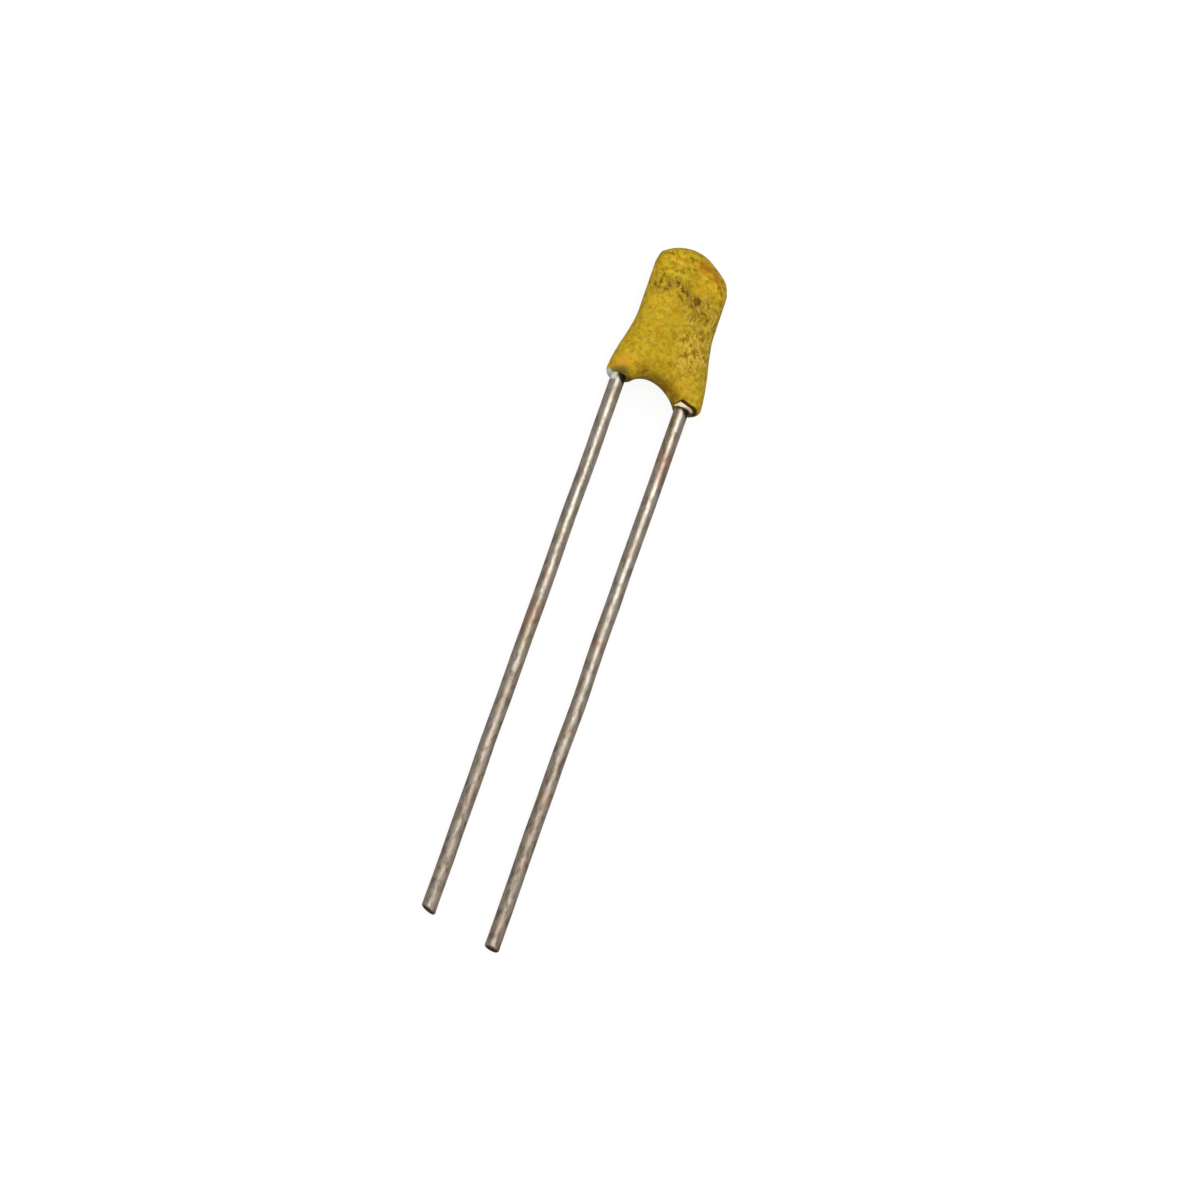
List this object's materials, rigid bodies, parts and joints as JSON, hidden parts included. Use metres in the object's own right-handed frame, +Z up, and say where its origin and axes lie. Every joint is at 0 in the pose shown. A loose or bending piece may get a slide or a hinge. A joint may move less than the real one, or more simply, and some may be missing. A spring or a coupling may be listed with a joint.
{
  "type": "ceramic plate capacitor",
  "caption": "Small resin-dipped ceramic plate capacitor: flat domed body with flared feet and long parallel tinned wire leads.",
  "frame": {"origin": "on the surface that the part lies on, midway between the leads and halfway along the part", "axes": "+X across the leads to the right, +Y from the lead tips to the domed top, +Z up out of the front face"},
  "size_m": [0.0036, 0.025, 0.0017],
  "materials": {
    "resin": "satin",
    "tinned_wire": "satin",
    "solder": "satin",
    "silver": "matte",
    "ceramic": "matte"
  },
  "bodies": {
    "root": {"coating": "resin", "ceramic_plate": "ceramic", "front_electrode": "silver", "rear_electrode": "silver", "front_solder_joint": "solder", "rear_solder_joint": "solder", "left_lead": "tinned_wire", "right_lead": "tinned_wire"}
  },
  "joints": []
}
